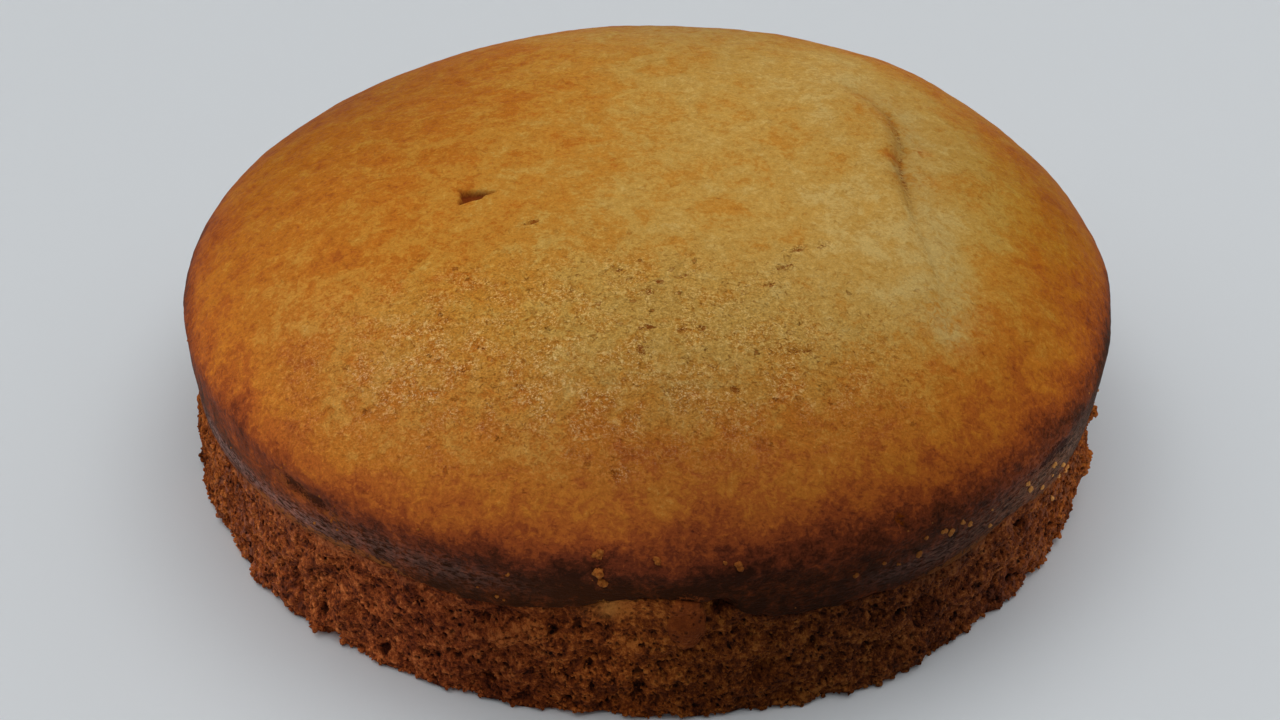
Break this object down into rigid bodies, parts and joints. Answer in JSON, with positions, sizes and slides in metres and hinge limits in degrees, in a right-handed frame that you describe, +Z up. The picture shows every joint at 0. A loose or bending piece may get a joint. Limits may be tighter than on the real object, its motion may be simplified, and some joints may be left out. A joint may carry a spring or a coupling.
{
  "type": "vanilla cake",
  "caption": "Round vanilla cake, whole and uncut, with a low golden dome, a dark baked band round its shoulder and a rough open-crumb side.",
  "frame": {"origin": "middle of the flat base, at the level of the plate it stands on", "axes": "+Z up, -Y towards the viewer of the picture, +X to the viewer's right"},
  "size_m": [0.2057, 0.2025, 0.0674],
  "materials": {
    "crust": "golden brown baked crust, satin, darker round the shoulder",
    "crumb": "reddish brown open crumb, matte and rough"
  },
  "bodies": {
    "root": {"cake": "crust"}
  },
  "joints": []
}
